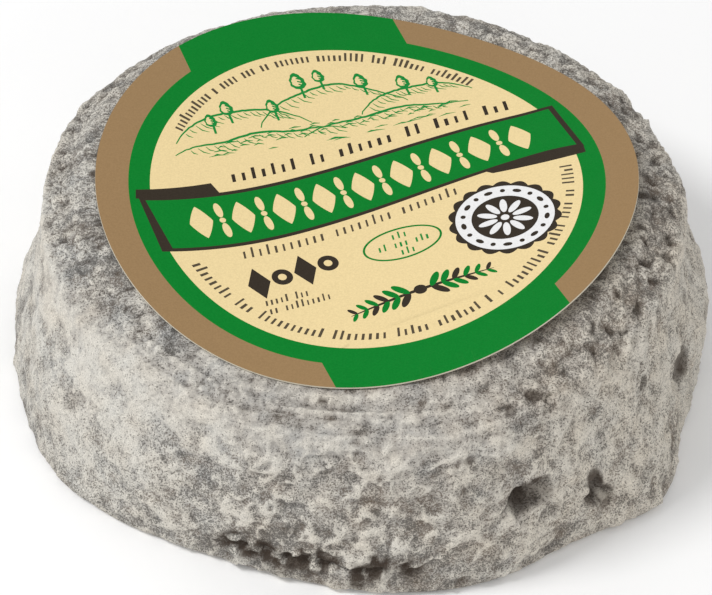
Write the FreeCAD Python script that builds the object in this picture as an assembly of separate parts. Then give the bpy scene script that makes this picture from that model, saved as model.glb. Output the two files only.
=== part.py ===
import FreeCAD, Part
import math
import os

# Selles-sur-cher: a small ripened goat's cheese, ladled by hand into a tapered
# mould, turned out, ashed and left to grow a felt-like grey rind, with a round
# paper label lying in the hollow of its top.
#
# Frame: millimetres, +Z up, origin on the floor under the middle of the foot.
# The cheese is seen from -Y in normal use. Azimuths are degrees anticlockwise
# from +X, seen from above.

# ---------------------------------------------------------------- overall sizes
BASE_RADIUS = 46.3          # wall at the floor, between its lobes
RIM_RADIUS = 41.0           # where wall and top would meet without rounding
BORDER = 6.0                # rind left showing round the label, up to there
HEIGHT = 23.4               # floor to the middle of the top, under the label
RIM_ROUND = 3.2             # rounding from wall to top
FOOT_ROUND = 1.2            # rounding from wall to the flat foot
BELLY = 0.5                 # how far the wall swells at mid height

# ---------------------------------------------------------------- paper label
LABEL_RADIUS = RIM_RADIUS - BORDER      # measured along the paper
LABEL_THICKNESS = 0.2
LABEL_CENTRE = (0.0, 1.2)   # over the floor, from the middle of the foot
LABEL_GAP = 0.15            # clearance between paper and rind
BEND_AZIMUTH = -19.0        # the paper curls up towards this side and its opposite
CURL_NEAR = 6.5             # rise of the edge on that side
CURL_FAR = 4.1              # rise of the opposite edge
CURL_FLATTEN = 1.3          # how much of the rise comes before the very edge
LABEL_LIFT = 1.8            # air under the near edge, where the rind falls away
LIFT_START = 0.5            # share of the radius at which that air begins

# ---------------------------------------------------------------- hand-made form
# Each lobe is azimuth, amount, half width in degrees.
BASE_LOBES = [
    (217.0, 2.1, 15.0),
    (252.0, -1.3, 14.0),
    (289.0, 0.9, 12.0),
    (308.0, -0.3, 8.0),
    (324.5, 3.3, 7.5),
    (350.0, -1.0, 13.0),
    (60.0, 0.5, 30.0),
    (140.0, -0.6, 25.0),
]
RIM_LOBES = [
    (0.0, 0.3, 30.0),
    (180.0, 1.1, 24.0),
    (262.0, -0.6, 18.0),
    (292.0, 0.4, 12.0),
    (325.0, -0.9, 14.0),
    (90.0, -0.2, 30.0),
]
RIM_RISES = [
    (350.0, 3.4, 40.0),
    (165.0, 1.2, 36.0),
    (262.0, -0.4, 30.0),
    (75.0, 0.5, 25.0),
]
# Each swelling or dent of the wall is azimuth, height, amount, half width along
# the wall, half height.
WALL_FEATURES = [
    (3.0, 9.5, 1.3, 15.0, 4.0),
    (8.0, 19.0, -1.8, 14.0, 4.5),
    (166.0, 15.0, -2.2, 18.0, 6.0),
    (338.0, 12.0, -0.6, 9.0, 6.0),
    (236.0, 12.0, 0.6, 14.0, 6.0),
    (200.0, 5.0, -0.5, 6.0, 3.0),
    (120.0, 10.0, 0.5, 14.0, 6.0),
]

# ---------------------------------------------------------------- holes in the rind
# Corners of a hole are (across, up) on the wall; its floor is the same outline
# at floor_scale, moved by floor_shift.
LEFT_HOLE = dict(
    azimuth=300.0, height=12.0, depth=4.0, floor_scale=0.35, floor_shift=(-1.3, -0.2),
    corners=[(-3.7, -0.9), (-2.4, 1.9), (3.3, 1.2), (2.4, -1.2), (-2.6, -2.6)])
RIGHT_HOLE = dict(
    azimuth=312.5, height=7.3, depth=2.6, floor_scale=0.4, floor_shift=(-0.2, 0.2),
    corners=[(-2.3, 0.2), (0.0, 3.4), (0.9, 0.6), (2.5, -1.6), (0.3, -2.6)])
BRINK_HOLE = dict(
    azimuth=305.0, height=HEIGHT - 0.6, depth=1.7, floor_scale=0.5, floor_shift=(0.0, 0.1),
    corners=[(-1.6, -0.5), (-0.4, 0.5), (1.7, 0.6), (0.6, -0.5)])
HOLES = [LEFT_HOLE, RIGHT_HOLE, BRINK_HOLE]
DIMPLE = dict(azimuth=340.0, height=11.4, radius=4.4, depth=1.2)
CREASE = dict(start=249.0, end=281.0, height=4.3, depth=1.1, gape=0.9, stations=9)
TOOL_OVERRUN = 1.5          # how far a cutting tool stands out of the rind

# ---------------------------------------------------------------- surface net
AROUND = 72                 # control points round the cheese
WALL_ROWS = 7               # rows up the wall, between foot and rim
TOP_ROWS = 6                # rows under the label, from its edge inwards
HUB_RADIUS = 4.0            # flat spot in the middle of the top
LABEL_MARGIN = 0.6          # the rind follows the paper this far past its edge


def lobe(azimuth, centre, half_width):
    """A smooth hump of height 1 round the given azimuth."""
    away = (azimuth - centre + 180.0) % 360.0 - 180.0
    return math.exp(-0.69 * (away / half_width) ** 2)


def lobes(table, azimuth):
    return sum(amount * lobe(azimuth, centre, width) for centre, amount, width in table)


def smooth_step(value):
    value = min(max(value, 0.0), 1.0)
    return value * value * (3.0 - 2.0 * value)


def wall_relief(azimuth, height, radius):
    """Swellings and dents of the wall at one place."""
    total = 0.0
    for centre, level, amount, half_width, half_height in WALL_FEATURES:
        across = lobe(azimuth, centre, math.degrees(half_width / radius))
        total += amount * across * math.exp(-0.69 * ((height - level) / half_height) ** 2)
    return total


def curl_height(along):
    """Height of the paper's underside over the middle of the label, at a
    distance along the bend direction."""
    share = along / LABEL_RADIUS
    even = 0.5 * (CURL_NEAR + CURL_FAR) + CURL_FLATTEN
    odd = 0.5 * (CURL_NEAR - CURL_FAR)
    return even * share ** 2 + odd * share ** 3 - CURL_FLATTEN * share ** 4


def along_bend(x, y):
    bend = math.radians(BEND_AZIMUTH)
    return (x - LABEL_CENTRE[0]) * math.cos(bend) + (y - LABEL_CENTRE[1]) * math.sin(bend)


def bed_height(x, y):
    """Height of the rind under the label."""
    along = along_bend(x, y)
    lift = LABEL_LIFT * smooth_step((along / LABEL_RADIUS - LIFT_START) / (1.0 - LIFT_START))
    return HEIGHT + curl_height(along) - LABEL_GAP - lift


def base_radius(azimuth):
    return BASE_RADIUS + lobes(BASE_LOBES, azimuth)


def rim_radius(azimuth):
    return RIM_RADIUS + lobes(RIM_LOBES, azimuth)


def rim_height(azimuth):
    return HEIGHT + lobes(RIM_RISES, azimuth)


def profile(azimuth):
    """Control points of one radial section, from the foot up the wall, over the
    rim and in to the middle of the top."""
    turn = math.radians(azimuth)
    out = (math.cos(turn), math.sin(turn))
    foot = base_radius(azimuth)
    rim = rim_radius(azimuth)
    crest = rim_height(azimuth)

    section = [(foot - 2.0 * FOOT_ROUND, 0.0), (foot - 0.6 * FOOT_ROUND, 0.0)]
    first = FOOT_ROUND / crest
    last = 1.0 - RIM_ROUND / crest
    for row in range(WALL_ROWS):
        share = first + (last - first) * row / (WALL_ROWS - 1)
        radius = foot + (rim - foot) * share + BELLY * math.sin(math.pi * share)
        radius += wall_relief(azimuth, share * crest, radius)
        section.append((radius, share * crest))
    section.append((rim - 0.2 * RIM_ROUND, crest - 0.2 * RIM_ROUND))
    section.append((rim - RIM_ROUND, crest))
    points = [(r * out[0], r * out[1], z) for r, z in section]

    brink = (points[-1][0], points[-1][1])
    edge_radius = LABEL_RADIUS + LABEL_MARGIN
    edge = [LABEL_CENTRE[i] + edge_radius * out[i] for i in (0, 1)]
    middle = [0.5 * (brink[i] + edge[i]) for i in (0, 1)]
    points.append((middle[0], middle[1], 0.5 * (crest + bed_height(*middle))))
    for row in range(TOP_ROWS + 1):
        share = row / TOP_ROWS
        radius = edge_radius + (HUB_RADIUS - edge_radius) * share
        x = LABEL_CENTRE[0] + radius * out[0]
        y = LABEL_CENTRE[1] + radius * out[1]
        points.append((x, y, bed_height(x, y)))
    hub = HEIGHT - LABEL_GAP
    points[-1] = (points[-1][0], points[-1][1], hub)
    return points


# ---- solids
def vector(point):
    return FreeCAD.Vector(*point)


def rind_surface(net):
    """The skin from foot to hub, closed round the cheese: cubic both ways."""
    around = len(net)
    rows = len(net[0])
    poles = [[vector(point) for point in section] for section in net]
    row_multiplicities = [4] + [1] * (rows - 4) + [4]
    surface = Part.BSplineSurface()
    surface.buildFromPolesMultsKnots(
        poles,
        [1] * (around + 1),
        row_multiplicities,
        list(range(around + 1)),
        list(range(rows - 2)),
        True,
        False,
        3,
        3,
    )
    return surface


def flat_cap(surface, row):
    return Part.Face(Part.Wire(surface.vIso(row).toShape()))


def closed_body(surface):
    """Close the skin with the flat foot below and the small flat hub above."""
    first, last = surface.bounds()[2:]
    skin = surface.toShape()
    shell = Part.makeShell([skin, flat_cap(surface, first), flat_cap(surface, last)])
    shell.sewShape()
    body = Part.makeSolid(shell)
    if body.Volume < 0.0:
        body.reverse()
    return body


def skin_radius(azimuth, height):
    """Radius of the wall at one azimuth and height, from its control points."""
    wall = [(math.hypot(x, y), z) for x, y, z in profile(azimuth)[1:WALL_ROWS + 4]]
    for (r0, z0), (r1, z1) in zip(wall, wall[1:]):
        if z0 <= height <= z1 and z1 > z0:
            return r0 + (r1 - r0) * (height - z0) / (z1 - z0)
    return wall[-1][0]


def wall_frame(azimuth, height, inset):
    """Origin and axes (out, across, up) of a place on the wall."""
    turn = math.radians(azimuth)
    out = FreeCAD.Vector(math.cos(turn), math.sin(turn), 0.0)
    across = FreeCAD.Vector(-math.sin(turn), math.cos(turn), 0.0)
    up = FreeCAD.Vector(0.0, 0.0, 1.0)
    origin = out * (skin_radius(azimuth, height) - inset) + up * height
    return origin, out, across, up


def hole_outline(hole, inset, scale, shift):
    origin, out, across, up = wall_frame(hole["azimuth"], hole["height"], inset)
    corners = []
    for right, rise in hole["corners"]:
        corners.append(origin + across * (right * scale + shift[0]) + up * (rise * scale + shift[1]))
    return Part.makePolygon(corners + corners[:1])


def hole_tool(hole):
    """A crooked, tapering plug that stands out of the rind."""
    shift = hole["floor_shift"]
    flare = 1.0 + (1.0 - hole["floor_scale"]) * TOOL_OVERRUN / hole["depth"]
    back = [-part * TOOL_OVERRUN / hole["depth"] for part in shift]
    mouth = hole_outline(hole, -TOOL_OVERRUN, flare, back)
    floor = hole_outline(hole, hole["depth"], hole["floor_scale"], shift)
    return Part.makeLoft([mouth, floor], True, True)


def dimple_tool():
    inset = DIMPLE["depth"] - DIMPLE["radius"]
    centre = wall_frame(DIMPLE["azimuth"], DIMPLE["height"], inset)[0]
    return Part.makeSphere(DIMPLE["radius"], centre)


def crease_tool():
    """A lens-shaped sliver that follows the wall and dies out at both ends."""
    sections = []
    for station in range(CREASE["stations"]):
        share = station / (CREASE["stations"] - 1)
        azimuth = CREASE["start"] + (CREASE["end"] - CREASE["start"]) * share
        fade = 0.25 + 0.75 * math.sin(math.pi * share)
        origin, out, across, up = wall_frame(azimuth, CREASE["height"], 0.0)
        tip = origin - out * (CREASE["depth"] * fade)
        heel = origin + out * TOOL_OVERRUN
        lip = up * (0.5 * CREASE["gape"] * fade)
        sections.append(Part.makePolygon([tip, origin + lip, heel, origin - lip, tip]))
    return Part.makeLoft(sections, True, False)


def make_cheese():
    net = [profile(360.0 * column / AROUND) for column in range(AROUND)]
    body = closed_body(rind_surface(net))
    tools = [hole_tool(hole) for hole in HOLES] + [dimple_tool(), crease_tool()]
    return body.cut(tools)


def curl_slope(along):
    share = along / LABEL_RADIUS
    even = 0.5 * (CURL_NEAR + CURL_FAR) + CURL_FLATTEN
    odd = 0.5 * (CURL_NEAR - CURL_FAR)
    rise = 2.0 * even * share + 3.0 * odd * share ** 2 - 4.0 * CURL_FLATTEN * share ** 3
    return rise / LABEL_RADIUS


def level_run(length):
    """Level distance covered by this length of paper along the bend."""
    steps = 60
    run = 0.0
    for step in range(steps):
        run += length / steps * math.cos(math.atan(curl_slope(run)))
    return run


def make_label():
    """Paper of even thickness, curled one way only, cut to a true circle."""
    bend = math.radians(BEND_AZIMUTH)
    along = FreeCAD.Vector(math.cos(bend), math.sin(bend), 0.0)
    beside = FreeCAD.Vector(-math.sin(bend), math.cos(bend), 0.0)
    up = FreeCAD.Vector(0.0, 0.0, 1.0)
    middle = FreeCAD.Vector(LABEL_CENTRE[0], LABEL_CENTRE[1], HEIGHT)
    reach = 1.1 * LABEL_RADIUS
    stations = 15

    under = []
    over = []
    for station in range(stations):
        run = reach * (2.0 * station / (stations - 1) - 1.0)
        slope = math.atan(curl_slope(run))
        point = middle + along * run + up * curl_height(run) - beside * reach
        under.append(point)
        over.append(point + (up * math.cos(slope) - along * math.sin(slope)) * LABEL_THICKNESS)
    lower = Part.BSplineCurve()
    lower.interpolate(under)
    upper = Part.BSplineCurve()
    upper.interpolate(over)
    ends = [Part.makeLine(under[0], over[0]), Part.makeLine(under[-1], over[-1])]
    edges = Part.__sortEdges__([lower.toShape(), upper.toShape()] + ends)
    sheet = Part.Face(Part.Wire(edges)).extrude(beside * (2.0 * reach))

    rim = []
    corners = 48
    for corner in range(corners):
        turn = 2.0 * math.pi * corner / corners
        run = level_run(LABEL_RADIUS * math.cos(turn))
        side = LABEL_RADIUS * math.sin(turn)
        rim.append(middle + along * run + beside * side - up * HEIGHT)
    outline = Part.BSplineCurve()
    outline.interpolate(Points=rim, PeriodicFlag=True)
    die = Part.Face(Part.Wire(outline.toShape())).extrude(up * (3.0 * HEIGHT))
    return sheet.common(die)


def save(shape, node):
    """Write the one solid of a piece."""
    solid = shape.Solids[0] if len(shape.Solids) == 1 else shape
    solid.exportStep(os.path.join("parts", node + ".step"))
    volume = round(shape.Volume / 1000.0, 2)
    print(node, len(shape.Solids), "solid,", volume, "cm3, valid", shape.isValid())


def stand_on_origin(shapes):
    """Put the whole with its foot on the floor and its middle over the origin."""
    box = FreeCAD.BoundBox()
    for shape in shapes:
        box.add(shape.optimalBoundingBox())
    for shape in shapes:
        shape.translate(FreeCAD.Vector(-box.Center.x, -box.Center.y, -box.ZMin))


cheese = make_cheese()
label = make_label()
stand_on_origin([cheese, label])
os.makedirs("parts", exist_ok=True)
save(cheese, "cheese")
save(label, "label")
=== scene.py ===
import math
import random
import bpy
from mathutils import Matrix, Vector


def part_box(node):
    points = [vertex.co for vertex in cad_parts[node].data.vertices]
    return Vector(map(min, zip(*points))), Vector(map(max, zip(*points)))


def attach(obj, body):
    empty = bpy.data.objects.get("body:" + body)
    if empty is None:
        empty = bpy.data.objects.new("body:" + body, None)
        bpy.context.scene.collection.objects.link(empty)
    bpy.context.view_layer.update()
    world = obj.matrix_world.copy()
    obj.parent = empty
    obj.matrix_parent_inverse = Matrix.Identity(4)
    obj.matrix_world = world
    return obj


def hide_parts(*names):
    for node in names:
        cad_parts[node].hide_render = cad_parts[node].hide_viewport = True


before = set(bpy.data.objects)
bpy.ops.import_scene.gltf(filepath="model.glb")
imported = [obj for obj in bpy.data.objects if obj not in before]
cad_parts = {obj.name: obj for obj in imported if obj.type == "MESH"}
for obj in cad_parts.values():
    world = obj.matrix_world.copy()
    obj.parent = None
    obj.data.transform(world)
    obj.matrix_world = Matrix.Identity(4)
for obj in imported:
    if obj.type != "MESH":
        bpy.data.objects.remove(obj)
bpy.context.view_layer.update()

from types import SimpleNamespace

import bpy
import numpy as np
from mathutils import Matrix, Vector, geometry, noise
from mathutils.bvhtree import BVHTree

MM = 0.001

# Selles-sur-cher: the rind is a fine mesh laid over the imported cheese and
# roughened by functions of place; the label is one sheet of paper whose print
# is cut into it as fields of plain colour.

# ------------------------------ the label, mm and degrees
LABEL_RADIUS = 35.0
LABEL_THICKNESS = 0.2
BEND_AZIMUTH = -19.0        # the paper curls up towards this side and its opposite
CURL_NEAR = 6.5             # rise of the edge on that side
CURL_FAR = 4.1              # rise of the opposite edge
CURL_FLATTEN = 1.3          # how much of the rise comes before the very edge
CURL_EVEN = 0.5 * (CURL_NEAR + CURL_FAR) + CURL_FLATTEN
CURL_ODD = 0.5 * (CURL_NEAR - CURL_FAR)
READING_TURN = 24.0         # the print's own level, anticlockwise from +X
CREAM_RADIUS = 27.9
RING_RADIUS = 30.75

# ------------------------------ the camera
VIEW_ELEVATION = 44.8       # degrees above the label, seen from -Y
VIEW_ROLL = 3.09            # clockwise
VIEW_DISTANCE = 385.6       # mm, to the plane of the label's middle
VIEW_SHIFT = (1.44, -13.15)  # mm, label's middle from the axis: right, down
LENS = 151.7
SENSOR = 36.0


def smooth_step(low, high, value):
    t = np.clip((value - low) / (high - low), 0.0, 1.0)
    return t * t * (3.0 - 2.0 * t)


def hump(value, centre, half_width):
    return np.exp(-0.69 * ((value - centre) / half_width) ** 2)


def turn_hump(azimuth, centre, half_width):
    away = (azimuth - centre + 180.0) % 360.0 - 180.0
    return np.exp(-0.69 * (away / half_width) ** 2)


def turn_humps(azimuth, table, total=0.0):
    """Sum of humps round the cheese, each azimuth, half width and weight."""
    for centre, half_width, weight in table:
        total = total + weight * turn_hump(azimuth, centre, half_width)
    return total


def seed_offset(seed):
    """Where in the noise a seed starts, so that no two fields agree."""
    return np.array([seed * 17.3, seed * 9.1, seed * 5.7])


def noise_field(points, size, stretch=(1.0, 1.0, 1.0), seed=0):
    """Smooth noise in -1..1 at each point (mm), features about size mm."""
    scaled = points / (size * np.array(stretch)) + seed_offset(seed)
    return np.array([noise.noise(Vector(p)) for p in scaled.tolist()])


# ============================== the label
def curl_height(along):
    share = along / LABEL_RADIUS
    return CURL_EVEN * share ** 2 + CURL_ODD * share ** 3 - CURL_FLATTEN * share ** 4


def curl_slope(along):
    share = along / LABEL_RADIUS
    rise = 2.0 * CURL_EVEN * share + 3.0 * CURL_ODD * share ** 2 - 4.0 * CURL_FLATTEN * share ** 3
    return rise / LABEL_RADIUS


def level_run_table():
    """Level distance along the bend for lengths of paper up to its radius."""
    count = 400
    lengths = np.linspace(0.0, 1.02 * LABEL_RADIUS, count)
    tables = []
    for sign in (-1.0, 1.0):
        run = [0.0]
        for k in range(1, count):
            level_share = math.cos(math.atan(curl_slope(run[-1])))
            run.append(run[-1] + sign * level_share * (lengths[k] - lengths[k - 1]))
        tables.append(np.array(run))
    return (np.concatenate([-lengths[:0:-1], lengths]),
            np.concatenate([tables[0][:0:-1], tables[1]]))


def bend_paper(flat, raise_by):
    """Put points of the flat print (mm, reading right and up) on the curl."""
    turn = math.radians(READING_TURN - BEND_AZIMUTH)
    length = flat[:, 0] * math.cos(turn) - flat[:, 1] * math.sin(turn)
    beside = flat[:, 0] * math.sin(turn) + flat[:, 1] * math.cos(turn)
    lengths, runs = level_run_table()
    run = np.interp(length, lengths, runs)
    slope = np.arctan(curl_slope(run))
    height = curl_height(run) + raise_by * np.cos(slope)
    run = run - raise_by * np.sin(slope)
    bend = math.radians(BEND_AZIMUTH)
    x = run * math.cos(bend) - beside * math.sin(bend)
    y = run * math.sin(bend) + beside * math.cos(bend)
    return np.stack([x, y, height], 1)


class Print:
    """Shapes of the print, later ones over earlier ones."""

    def __init__(self):
        self.shapes = []

    def add(self, ink, points):
        self.shapes.append((ink, [(float(x), float(y)) for x, y in points]))


def circle(cx, cy, rx, ry=None, count=96, turn=0.0):
    ry = rx if ry is None else ry
    points = []
    for i in range(count):
        a = 2.0 * math.pi * i / count
        x, y = rx * math.cos(a), ry * math.sin(a)
        points.append((cx + x * math.cos(turn) - y * math.sin(turn),
                       cy + x * math.sin(turn) + y * math.cos(turn)))
    return points


def stroke(path, width, taper=0.0):
    """Outline of a line of some width along a path, thinner at its ends."""
    left, right = [], []
    for i, (x, y) in enumerate(path):
        ax, ay = path[max(i - 1, 0)]
        bx, by = path[min(i + 1, len(path) - 1)]
        length = math.hypot(bx - ax, by - ay) or 1.0
        nx, ny = -(by - ay) / length, (bx - ax) / length
        share = i / (len(path) - 1)
        half = 0.5 * width * (1.0 - taper * (2.0 * share - 1.0) ** 2)
        left.append((x + nx * half, y + ny * half))
        right.append((x - nx * half, y - ny * half))
    return left + right[::-1]


# The green band waves once: it dips at the left and rises at the right
RIBBON_LEVEL = 1.5          # its middle line, above the label's middle
RIBBON_WAVE = 1.0           # how far the crests leave that line
RIBBON_CREST = 15.5         # where they are, left and right of the middle
RIBBON_WIDTH = 8.9
RIBBON_FLARE = 0.8          # wider by this at the right end


def ribbon_edge(a, side):
    share = a / RIBBON_CREST
    middle = RIBBON_LEVEL + 0.5 * RIBBON_WAVE * share * (3.0 - share ** 2)
    width = RIBBON_WIDTH + RIBBON_FLARE * float(smooth_step(24.0, 30.0, a))
    return middle + 0.5 * side * width


def ribbon_top(a):
    return ribbon_edge(a, 1.0)


def ribbon_bottom(a):
    return ribbon_edge(a, -1.0)


def ribbon_middle(a):
    return 0.5 * (ribbon_top(a) + ribbon_bottom(a))


def steps(start, end, count):
    return [start + (end - start) * i / (count - 1) for i in range(count)]


# Green blocks on the tan paper: upper or lower edge, left end, right end
BLOCKS = ((1.0, -14.7, 16.2), (-1.0, -16.5, 14.1))
BLOCK_REACH = 24.0          # they run in to here, under the ring


def draw_ground(art):
    """Tan paper with two green blocks, a green ring and a cream disc."""
    art.add("tan", circle(0.0, 0.0, LABEL_RADIUS, count=240))
    for side, left, right in BLOCKS:
        outer = [(a, side * math.sqrt(LABEL_RADIUS ** 2 - a * a)) for a in steps(left, right, 40)]
        inner = [(right, side * BLOCK_REACH), (left, side * BLOCK_REACH)]
        art.add("green", outer + inner)
    art.add("green", circle(-0.1, -0.2, RING_RADIUS, count=200))
    art.add("cream", circle(-0.2, -0.2, CREAM_RADIUS, count=200))


RIBBON_LINE = 0.28          # dark line along both edges
FOLD_LEVEL = 7.1            # upper edge of the left fold
FOLD_DROP = 0.21            # slope of the right fold's lower edge


def draw_ribbon(art):
    """The waving band across the middle, with a folded end at each side."""
    line = RIBBON_LINE
    across = steps(-28.9, 28.9, 80)
    top = [(a, ribbon_top(a)) for a in across]
    bottom = [(a, ribbon_bottom(a)) for a in across]
    outer = [(a, b + line) for a, b in top] + [(a, b - line) for a, b in bottom[::-1]]
    art.add("dark", outer)
    inner = [(a, b - line) for a, b in top if -28.4 < a < 28.5]
    inner += [(a, b + line) for a, b in bottom[::-1] if -27.6 < a < 28.2]
    art.add("green", inner)
    fold = [(a, ribbon_top(a)) for a in steps(-29.3, -18.3, 16)] + [(-18.9, FOLD_LEVEL)]
    fold += [(a, FOLD_LEVEL + 0.011 * (a + 20.0) ** 2) for a in steps(-19.8, -28.8, 12)]
    art.add("dark", fold)
    fold = [(a, ribbon_bottom(a)) for a in steps(15.5, 28.9, 16)]
    fold += [(a, -2.7 - FOLD_DROP * (a - 15.5)) for a in steps(28.5, 16.4, 12)]
    art.add("dark", fold)


def hollow_lozenge(a, b, half_wide, half_tall, hollow=1.7, count=32):
    """A lozenge whose sides curve inwards."""
    points = []
    for k in range(count):
        turn = 2.0 * math.pi * k / count
        x = abs(math.cos(turn)) ** hollow * math.copysign(half_wide, math.cos(turn))
        y = abs(math.sin(turn)) ** hollow * math.copysign(half_tall, math.sin(turn))
        points.append((a + x, b + y))
    return points


def upright_leaf(a, b, half_wide, half_tall, count=24):
    turns = [2.0 * math.pi * k / count for k in range(count)]
    return [(a + half_wide * math.sin(t), b + half_tall * math.cos(t)) for t in turns]


def draw_ribbon_ornament(art):
    """A running border of hollow-sided lozenges, leaves and dots."""
    units, span = 9, 50.4
    pitch = span / units
    for i in range(units):
        a = -0.5 * span + pitch * (i + 0.5)
        art.add("cream", hollow_lozenge(a, ribbon_middle(a), 1.55, 2.75))
        if i < units - 1:
            a += 0.5 * pitch
            b = ribbon_middle(a)
            for side in (-1.0, 1.0):
                art.add("cream", upright_leaf(a, b + side * 1.75, 0.52, 1.25))
            art.add("cream", circle(a, b, 0.42, count=16))


TICK_HEIGHTS = (1.0, 1.0, 1.0, 1.45)    # one tick in four stands taller
TICK_WIDTHS = (0.85, 1.2)
TICK_LEAN = 0.18


def tick_words(art, ink, place, start, end, height, pen, words, seed):
    """A row of slanted ticks in groups, along a path given by place(s, b)."""
    rng = random.Random(seed)
    unit = (end - start) / (sum(words) + len(words) - 1)
    s = start
    for count in words:
        for i in range(count):
            tall = height * rng.choice(TICK_HEIGHTS)
            wide = pen * rng.uniform(*TICK_WIDTHS)
            x = s + (i + 0.5) * unit
            lean = TICK_LEAN * tall
            quad = [(x - 0.5 * wide, 0.0), (x + 0.5 * wide, 0.0),
                    (x + 0.5 * wide + lean, tall), (x - 0.5 * wide + lean, tall)]
            art.add(ink, [place(u, v) for u, v in quad])
        s += (count + 1) * unit


TOP_ARC_RADIUS, TOP_ARC_START = 25.55, 140.0
LOW_ARC_RADIUS, LOW_ARC_START = 26.7, 192.0


def draw_lines(art):
    """Lines of plain ticks in groups, straight, along the band and along the edge."""
    def over_ribbon(s, b):
        return (s, ribbon_top(s) + 1.7 + b)

    def under_ribbon(s, b):
        return (s, ribbon_bottom(s) - 2.5 + b)

    def top_arc(s, b):
        turn = math.radians(TOP_ARC_START - s)
        return ((TOP_ARC_RADIUS + b) * math.cos(turn), (TOP_ARC_RADIUS + b) * math.sin(turn))

    def low_arc(s, b):
        turn = math.radians(LOW_ARC_START + s)
        return ((LOW_ARC_RADIUS - b) * math.cos(turn), (LOW_ARC_RADIUS - b) * math.sin(turn))

    tick_words(art, "dark", over_ribbon, -16.5, 24.0, 1.35, 0.46, (7, 2, 6, 2, 4, 3), 3)
    tick_words(art, "grey", under_ribbon, -19.6, 11.0, 1.2, 0.3, (11, 8, 8), 4)
    for row, right, words in ((-14.6, -13.6, (5, 3)), (-16.1, -11.2, (2, 9))):
        tick_words(art, "grey", lambda s, b, r=row: (s, r + b + 0.01 * s), -19.6, right,
                   0.85, 0.24, words, 5)
    tick_words(art, "grey", top_arc, 0.0, 104.0, 1.1, 0.75, (11, 1, 4, 3, 2, 7, 9, 3, 6, 8), 6)
    tick_words(art, "grey", low_arc, 0.0, 154.0, 1.1, 0.75,
               (8, 3, 10, 8, 5, 7, 1, 1, 9, 5, 4, 2, 5), 7)


def draw_weights(art):
    """Four bold plain shapes in a row: lozenge, ring, lozenge, ring."""
    for i, a in enumerate(steps(-18.9, -9.4, 4)):
        b = -10.9 + 0.25 * i
        if i % 2:
            art.add("dark", circle(a, b, 1.35, count=40))
            art.add("cream", circle(a, b, 0.55, count=24))
        else:
            art.add("dark", [(a - 1.5, b), (a, b - 2.7), (a + 1.5, b), (a, b + 2.7)])


def draw_oval(art):
    """A thin green oval round three rows of ticks."""
    a, b, wide, tall, line = 0.7, -10.2, 5.35, 2.85, 0.3
    art.add("green", circle(a, b, wide, tall, turn=0.03))
    art.add("cream", circle(a, b, wide - line, tall - line, turn=0.03))
    for row, half, words in ((-9.2, 1.2, (3,)), (-10.8, 3.6, (2, 3, 3)), (-12.3, 1.1, (3,))):
        tick_words(art, "leaf", lambda s, b, r=row: (s, r + b), a - half, a + half,
                   0.85, 0.26, words, 8)


def draw_rosette(art):
    """A scalloped rosette with a ring of seeds round a plain flower."""
    cx, cy, lobes, petals = 14.2, -11.8, 18, 10
    radius, scallop = 6.7, 0.6

    def at(distance, turn):
        return cx + distance * math.cos(turn), cy + distance * math.sin(turn)

    turns = [2.0 * math.pi * i / (12 * lobes) for i in range(12 * lobes)]
    art.add("dark", [at(radius + scallop * abs(math.sin(0.5 * lobes * t)), t) for t in turns])
    art.add("white", circle(cx, cy, 6.35))
    for i in range(lobes):
        turn = 2.0 * math.pi * (i + 0.5) / lobes
        long = 0.34 if i % 2 else 0.6
        art.add("dark", circle(*at(5.4, turn), 0.34, long, count=18, turn=turn))
    art.add("dark", circle(cx, cy, 4.3))
    for i in range(petals):
        turn = 2.0 * math.pi * i / petals
        art.add("white", circle(*at(2.35, turn), 1.3, 0.48, count=28, turn=turn))
    art.add("white", circle(cx, cy, 0.55, count=24))


def draw_spray(art):
    """A slightly arched stem with paired leaves, smaller towards both ends."""
    cx, cy = -0.6, -19.9
    reach, pairs, pitch = 9.6, 6, 1.45

    def stem(a):
        return cy + 0.9 * math.cos(math.pi * a / (2.0 * reach)) - 0.2

    path = [(cx + a, stem(a)) for a in steps(-reach, reach, 40)]
    art.add("dark", stroke(path, 0.5, taper=0.8))
    for side in (-1.0, 1.0):
        for i in range(pairs):
            a = side * (1.5 + i * pitch)
            size = 1.0 - 0.09 * i
            for up in (-1.0, 1.0):
                turn = math.radians(90.0 - side * 38.0) * up
                x = cx + a + 1.3 * size * math.cos(turn)
                y = stem(a) + 1.3 * size * math.sin(turn)
                ink = "dark" if (i + (up > 0)) % 3 == 0 else "green"
                art.add(ink, circle(x, y, 1.35 * size, 0.5 * size, count=24, turn=turn))
    art.add("dark", circle(cx, stem(0.0), 0.85, count=24))


# Ridges of the hills: left end, right end, level, height, waves
RIDGES = ((-21.0, -2.0, 14.6, 4.3, 3.0), (-9.0, 12.0, 15.2, 5.6, 4.0), (5.0, 21.0, 14.4, 3.4, 3.0),
          (-21.8, 2.0, 12.6, 1.6, 5.0), (-4.0, 19.5, 12.3, 1.9, 4.0))
# Trees: across, up, size
TREES = ((-15.2, 16.6, 1.0), (-12.4, 18.2, 1.15), (-6.2, 17.4, 1.1), (-1.2, 20.9, 1.35),
         (1.9, 21.6, 1.05), (7.2, 19.3, 1.2), (12.6, 17.6, 1.15), (16.4, 16.6, 0.95))
RIDGE_PEN, TRUNK_PEN, TWIG_PEN, SLOPE_PEN = 0.38, 0.34, 0.24, 0.2
GRASS_PEN, FIELD_PEN = 0.26, 0.22


def wobble(rng, path, amount):
    return [(x + rng.uniform(-amount, amount), y + rng.uniform(-amount, amount)) for x, y in path]


def ridge_line(start, end, base, height, waves):
    path = []
    for a in steps(start, end, 44):
        share = (a - start) / (end - start)
        path.append((a, base + height * math.sin(math.pi * share) ** 0.8
                     + 0.25 * math.sin(waves * math.pi * share)))
    return path


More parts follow.
